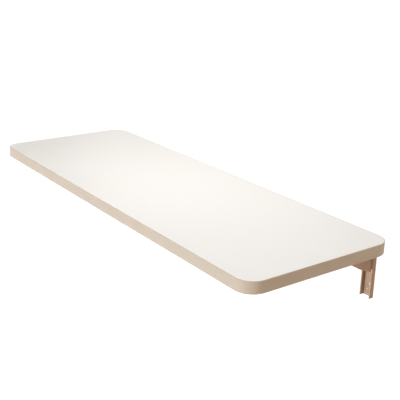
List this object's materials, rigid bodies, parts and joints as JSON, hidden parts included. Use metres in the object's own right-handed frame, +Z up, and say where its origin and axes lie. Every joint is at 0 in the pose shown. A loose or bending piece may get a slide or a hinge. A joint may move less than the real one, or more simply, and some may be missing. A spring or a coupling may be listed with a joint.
{
  "type": "wall-mounted fold-down desk",
  "caption": "Rounded white laminated desktop with a beige edge band, held level on folding steel wall brackets that let it swing down flat in front of the wall.",
  "frame": {"origin": "on the wall plane, at the centre of the rectangle of the four main wall holes", "axes": "+X along the wall, to the right as seen from the room; +Y into the wall; +Z up"},
  "size_m": [1.4, 0.482, 0.182],
  "materials": {
    "top_surface": "satin white melamine laminate",
    "underside": "plain white backing laminate",
    "core": "raw particleboard",
    "edge_band": "satin beige edge band",
    "bracket_steel": "satin warm beige powder coat",
    "latch_steel": "zinc plated",
    "pin_steel": "plain steel",
    "spring_steel": "oiled spring steel",
    "screw_steel": "bright zinc",
    "nylon": "natural nylon",
    "cap_plastic": "moulded, fine texture",
    "grip_plastic": "moulded, fine texture"
  },
  "bodies": {
    "wall_frame": {"wall_channel_left": "bracket_steel", "wall_channel_right": "bracket_steel", "pivot_pin_left": "bracket_steel", "pivot_pin_right": "bracket_steel", "pivot_clip_left": "spring_steel", "pivot_clip_right": "spring_steel", "thrust_washers_left": "nylon", "thrust_washers_right": "nylon", "lock_pin_left": "bracket_steel", "lock_pin_right": "bracket_steel"},
    "desktop": {"core_board": "core", "top_laminate": "top_surface", "backer_laminate": "underside", "edge_band": "edge_band", "arm_left": "bracket_steel", "arm_right": "bracket_steel", "arm_screws_left": "screw_steel", "arm_screws_right": "screw_steel", "arm_end_cap_left": "cap_plastic", "arm_end_cap_right": "cap_plastic", "latch_pin_left": "pin_steel", "latch_pin_right": "pin_steel", "latch_spring_left": "spring_steel", "latch_spring_right": "spring_steel"},
    "latch_left": {"latch_lever_left": "latch_steel", "latch_grip_left": "grip_plastic"},
    "latch_right": {"latch_lever_right": "latch_steel", "latch_grip_right": "grip_plastic"}
  },
  "joints": [
    {"name": "fold_down", "type": "hinge", "parent": "wall_frame", "child": "desktop", "pos_m": [0, -0.01, 0.006], "axis": [1, 0, 0], "range_deg": [0, 90]},
    {"name": "latch_left_release", "type": "hinge", "parent": "desktop", "child": "latch_left", "pos_m": [-0.635, -0.06, 0.044], "axis": [1, 0, 0], "range_deg": [-8, 0], "deforming": ["latch_spring_left"]},
    {"name": "latch_right_release", "type": "hinge", "parent": "desktop", "child": "latch_right", "pos_m": [0.635, -0.06, 0.044], "axis": [1, 0, 0], "range_deg": [-8, 0], "deforming": ["latch_spring_right"]}
  ]
}
